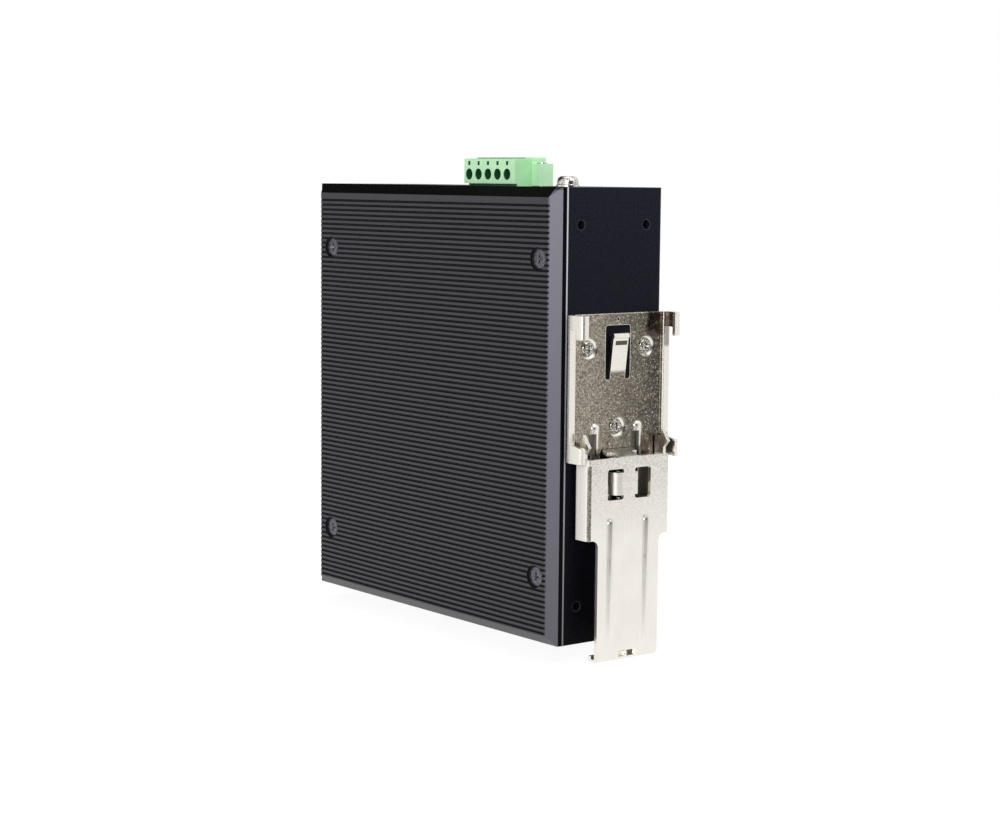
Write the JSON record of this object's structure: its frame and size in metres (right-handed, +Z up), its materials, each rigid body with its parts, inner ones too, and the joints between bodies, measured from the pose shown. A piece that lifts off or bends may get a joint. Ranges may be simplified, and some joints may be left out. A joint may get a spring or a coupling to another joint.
{
  "type": "din rail ethernet switch",
  "caption": "Slim steel-cased network switch with a ribbed aluminium side, ganged jack sockets in front, a lockable wire plug on top and a sprung rail clip on its back",
  "frame": {"origin": "the middle of the 35 mm rail's seat on the clip, at the plane where the rail's flanges rest", "axes": "+X is to the right seen from the front, towards the ribbed cover; +Y runs to the back, towards the rail; +Z is up"},
  "size_m": [0.0468, 0.1474, 0.1609],
  "materials": {
    "coated_steel": "black powder coat, fine texture",
    "ribbed_aluminium": "charcoal anodised, ribbed",
    "black_oxide": "black zinc plated screws",
    "nickel_base": "nickel plated spring steel",
    "nickel_slider": "nickel plated steel, smooth",
    "spring_steel": "bright spring wire",
    "bright_screw": "bright zinc plated",
    "green_plastic": "green polyamide",
    "header_plastic": "green polyamide",
    "clamp_steel": "tinned steel",
    "board_laminate": "green solder mask",
    "black_plastic": "black thermoplastic",
    "chip_plastic": "black moulded package",
    "pad_silicone": "grey silicone pad",
    "shell_steel": "tinned steel",
    "contact_gold": "gold plated",
    "clear_plastic": "clear polycarbonate",
    "led_resin": "led package",
    "can_aluminium": "sleeved aluminium can",
    "ferrite": "ferrite core"
  },
  "bodies": {
    "housing": {"board_screws": "bright_screw", "board_spacers": "clamp_steel", "capacitors": "can_aluminium", "case_shell": "coated_steel", "circuit_board": "board_laminate", "clamp_screws": "bright_screw", "clip_base": "nickel_base", "clip_screws": "bright_screw", "clip_spring": "spring_steel", "cover_screws": "black_oxide", "flange_screws": "bright_screw", "front_panel": "coated_steel", "front_panel_screws": "black_oxide", "ground_screw": "bright_screw", "ground_washer": "bright_screw", "header_pins": "clamp_steel", "indicator_leds": "led_resin", "inductor": "ferrite", "jack_block": "black_plastic", "jack_contacts": "contact_gold", "jack_shell": "shell_steel", "light_pipes": "clear_plastic", "magnetics": "chip_plastic", "relay": "black_plastic", "ribbed_cover": "ribbed_aluminium", "switch_chip": "chip_plastic", "terminal_header": "header_plastic", "terminal_plug": "green_plastic", "thermal_pad": "pad_silicone", "wire_clamps": "clamp_steel"},
    "slider": {"clip_slider": "nickel_slider"}
  },
  "joints": [
    {"name": "slider_slide", "type": "slide", "parent": "housing", "child": "slider", "axis": [0, 0, -1], "range_m": [0, 0.006], "stiffness_N_per_m": 1500, "springref_m": -0.006, "deforming": ["clip_spring"]}
  ]
}
